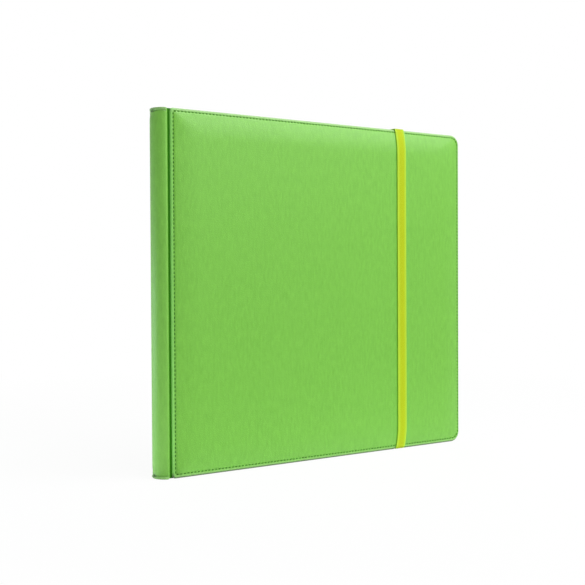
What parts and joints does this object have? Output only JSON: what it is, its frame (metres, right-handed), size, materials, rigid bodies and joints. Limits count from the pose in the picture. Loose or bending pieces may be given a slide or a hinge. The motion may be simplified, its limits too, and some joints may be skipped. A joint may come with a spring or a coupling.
{
  "type": "pocket album",
  "caption": "Padded, sewn card album with a rounded spine, turning side-loading pocket leaves and an elastic strap that holds it shut.",
  "frame": {"origin": "under the middle of the shut album, on the surface that it stands on", "axes": "+X from the spine to the fore-edge, +Y from the front cover to the back cover, +Z from tail to head"},
  "size_m": [0.3408, 0.0309, 0.3111],
  "materials": {
    "cover_leather": "satin",
    "thread": "matte",
    "elastic": "matte",
    "hinge_cloth": "matte",
    "lining_cloth": "matte",
    "foam": "matte",
    "stiffener": "matte",
    "binding_plastic": "satin",
    "leaf_plastic": "satin",
    "clear_film": "gloss"
  },
  "bodies": {
    "spine": {"spine_skin": "cover_leather", "spine_board": "stiffener", "spine_lining": "lining_cloth", "binding_block": "binding_plastic", "front_hinge_strip": "hinge_cloth", "back_hinge_strip": "hinge_cloth"},
    "front_cover": {"front_cover_skin": "cover_leather", "front_padding": "foam", "front_board": "stiffener", "front_lining": "lining_cloth", "front_seam_thread": "thread"},
    "back_cover": {"back_cover_skin": "cover_leather", "back_padding": "foam", "back_board": "stiffener", "back_lining": "lining_cloth", "back_seam_thread": "thread", "strap_tail_head": "elastic", "strap_tail_foot": "elastic"},
    "strap": {"strap_band": "elastic"},
    "leaf_01": {"leaf_01_sheet": "leaf_plastic", "leaf_01_pockets": "clear_film"},
    "leaf_02": {"leaf_02_sheet": "leaf_plastic", "leaf_02_pockets": "clear_film"},
    "leaf_03": {"leaf_03_sheet": "leaf_plastic", "leaf_03_pockets": "clear_film"},
    "leaf_04": {"leaf_04_sheet": "leaf_plastic", "leaf_04_pockets": "clear_film"},
    "leaf_05": {"leaf_05_sheet": "leaf_plastic", "leaf_05_pockets": "clear_film"},
    "leaf_06": {"leaf_06_sheet": "leaf_plastic", "leaf_06_pockets": "clear_film"},
    "leaf_07": {"leaf_07_sheet": "leaf_plastic", "leaf_07_pockets": "clear_film"},
    "leaf_08": {"leaf_08_sheet": "leaf_plastic", "leaf_08_pockets": "clear_film"},
    "leaf_09": {"leaf_09_sheet": "leaf_plastic", "leaf_09_pockets": "clear_film"},
    "leaf_10": {"leaf_10_sheet": "leaf_plastic", "leaf_10_pockets": "clear_film"},
    "leaf_11": {"leaf_11_sheet": "leaf_plastic", "leaf_11_pockets": "clear_film"},
    "leaf_12": {"leaf_12_sheet": "leaf_plastic", "leaf_12_pockets": "clear_film"},
    "leaf_13": {"leaf_13_sheet": "leaf_plastic", "leaf_13_pockets": "clear_film"},
    "leaf_14": {"leaf_14_sheet": "leaf_plastic", "leaf_14_pockets": "clear_film"},
    "leaf_15": {"leaf_15_sheet": "leaf_plastic", "leaf_15_pockets": "clear_film"},
    "leaf_16": {"leaf_16_sheet": "leaf_plastic", "leaf_16_pockets": "clear_film"},
    "leaf_17": {"leaf_17_sheet": "leaf_plastic", "leaf_17_pockets": "clear_film"},
    "leaf_18": {"leaf_18_sheet": "leaf_plastic", "leaf_18_pockets": "clear_film"},
    "leaf_19": {"leaf_19_sheet": "leaf_plastic", "leaf_19_pockets": "clear_film"},
    "leaf_20": {"leaf_20_sheet": "leaf_plastic", "leaf_20_pockets": "clear_film"}
  },
  "joints": [
    {"name": "front_hinge", "type": "hinge", "parent": "spine", "child": "front_cover", "pos_m": [-0.1596, -0.00926, 0], "axis": [0, 0, -1], "range_deg": [0, 90], "deforming": ["front_hinge_strip"]},
    {"name": "back_hinge", "type": "hinge", "parent": "spine", "child": "back_cover", "pos_m": [-0.1596, 0.00926, 0], "axis": [0, 0, 1], "range_deg": [0, 90], "deforming": ["back_hinge_strip"]},
    {"name": "strap_release", "type": "slide", "parent": "back_cover", "child": "strap", "axis": [0, 1, 0], "range_m": [0, 0.03102], "deforming": ["strap_band"]},
    {"name": "leaf_01_turn", "type": "hinge", "parent": "spine", "child": "leaf_01", "pos_m": [-0.1566, -0.00798, 0], "axis": [0, 0, -1], "range_deg": [0, 63]},
    {"name": "leaf_02_turn", "type": "hinge", "parent": "spine", "child": "leaf_02", "pos_m": [-0.1566, -0.00714, 0], "axis": [0, 0, -1], "range_deg": [0, 56.37]},
    {"name": "leaf_03_turn", "type": "hinge", "parent": "spine", "child": "leaf_03", "pos_m": [-0.1566, -0.0063, 0], "axis": [0, 0, -1], "range_deg": [0, 49.74]},
    {"name": "leaf_04_turn", "type": "hinge", "parent": "spine", "child": "leaf_04", "pos_m": [-0.1566, -0.00546, 0], "axis": [0, 0, -1], "range_deg": [0, 43.11]},
    {"name": "leaf_05_turn", "type": "hinge", "parent": "spine", "child": "leaf_05", "pos_m": [-0.1566, -0.00462, 0], "axis": [0, 0, -1], "range_deg": [0, 36.47]},
    {"name": "leaf_06_turn", "type": "hinge", "parent": "spine", "child": "leaf_06", "pos_m": [-0.1566, -0.00378, 0], "axis": [0, 0, -1], "range_deg": [0, 29.84]},
    {"name": "leaf_07_turn", "type": "hinge", "parent": "spine", "child": "leaf_07", "pos_m": [-0.1566, -0.00294, 0], "axis": [0, 0, -1], "range_deg": [0, 23.21]},
    {"name": "leaf_08_turn", "type": "hinge", "parent": "spine", "child": "leaf_08", "pos_m": [-0.1566, -0.0021, 0], "axis": [0, 0, -1], "range_deg": [0, 16.58]},
    {"name": "leaf_09_turn", "type": "hinge", "parent": "spine", "child": "leaf_09", "pos_m": [-0.1566, -0.00126, 0], "axis": [0, 0, -1], "range_deg": [0, 9.95]},
    {"name": "leaf_10_turn", "type": "hinge", "parent": "spine", "child": "leaf_10", "pos_m": [-0.1566, -0.00042, 0], "axis": [0, 0, -1], "range_deg": [0, 3.32]},
    {"name": "leaf_11_turn", "type": "hinge", "parent": "spine", "child": "leaf_11", "pos_m": [-0.1566, 0.00042, 0], "axis": [0, 0, 1], "range_deg": [0, 3.32]},
    {"name": "leaf_12_turn", "type": "hinge", "parent": "spine", "child": "leaf_12", "pos_m": [-0.1566, 0.00126, 0], "axis": [0, 0, 1], "range_deg": [0, 9.95]},
    {"name": "leaf_13_turn", "type": "hinge", "parent": "spine", "child": "leaf_13", "pos_m": [-0.1566, 0.0021, 0], "axis": [0, 0, 1], "range_deg": [0, 16.58]},
    {"name": "leaf_14_turn", "type": "hinge", "parent": "spine", "child": "leaf_14", "pos_m": [-0.1566, 0.00294, 0], "axis": [0, 0, 1], "range_deg": [0, 23.21]},
    {"name": "leaf_15_turn", "type": "hinge", "parent": "spine", "child": "leaf_15", "pos_m": [-0.1566, 0.00378, 0], "axis": [0, 0, 1], "range_deg": [0, 29.84]},
    {"name": "leaf_16_turn", "type": "hinge", "parent": "spine", "child": "leaf_16", "pos_m": [-0.1566, 0.00462, 0], "axis": [0, 0, 1], "range_deg": [0, 36.47]},
    {"name": "leaf_17_turn", "type": "hinge", "parent": "spine", "child": "leaf_17", "pos_m": [-0.1566, 0.00546, 0], "axis": [0, 0, 1], "range_deg": [0, 43.11]},
    {"name": "leaf_18_turn", "type": "hinge", "parent": "spine", "child": "leaf_18", "pos_m": [-0.1566, 0.0063, 0], "axis": [0, 0, 1], "range_deg": [0, 49.74]},
    {"name": "leaf_19_turn", "type": "hinge", "parent": "spine", "child": "leaf_19", "pos_m": [-0.1566, 0.00714, 0], "axis": [0, 0, 1], "range_deg": [0, 56.37]},
    {"name": "leaf_20_turn", "type": "hinge", "parent": "spine", "child": "leaf_20", "pos_m": [-0.1566, 0.00798, 0], "axis": [0, 0, 1], "range_deg": [0, 63]}
  ],
  "couplings": [
    {"joint": "back_hinge", "follows": "front_hinge", "ratio": 1},
    {"joint": "strap_release", "follows": "front_hinge", "m_per_rad": 0.019748},
    {"joint": "leaf_01_turn", "follows": "front_hinge", "ratio": 0.7},
    {"joint": "leaf_02_turn", "follows": "front_hinge", "ratio": 0.62632},
    {"joint": "leaf_03_turn", "follows": "front_hinge", "ratio": 0.55263},
    {"joint": "leaf_04_turn", "follows": "front_hinge", "ratio": 0.47895},
    {"joint": "leaf_05_turn", "follows": "front_hinge", "ratio": 0.40526},
    {"joint": "leaf_06_turn", "follows": "front_hinge", "ratio": 0.33158},
    {"joint": "leaf_07_turn", "follows": "front_hinge", "ratio": 0.25789},
    {"joint": "leaf_08_turn", "follows": "front_hinge", "ratio": 0.18421},
    {"joint": "leaf_09_turn", "follows": "front_hinge", "ratio": 0.11053},
    {"joint": "leaf_10_turn", "follows": "front_hinge", "ratio": 0.03684},
    {"joint": "leaf_11_turn", "follows": "front_hinge", "ratio": 0.03684},
    {"joint": "leaf_12_turn", "follows": "front_hinge", "ratio": 0.11053},
    {"joint": "leaf_13_turn", "follows": "front_hinge", "ratio": 0.18421},
    {"joint": "leaf_14_turn", "follows": "front_hinge", "ratio": 0.25789},
    {"joint": "leaf_15_turn", "follows": "front_hinge", "ratio": 0.33158},
    {"joint": "leaf_16_turn", "follows": "front_hinge", "ratio": 0.40526},
    {"joint": "leaf_17_turn", "follows": "front_hinge", "ratio": 0.47895},
    {"joint": "leaf_18_turn", "follows": "front_hinge", "ratio": 0.55263},
    {"joint": "leaf_19_turn", "follows": "front_hinge", "ratio": 0.62632},
    {"joint": "leaf_20_turn", "follows": "front_hinge", "ratio": 0.7}
  ]
}
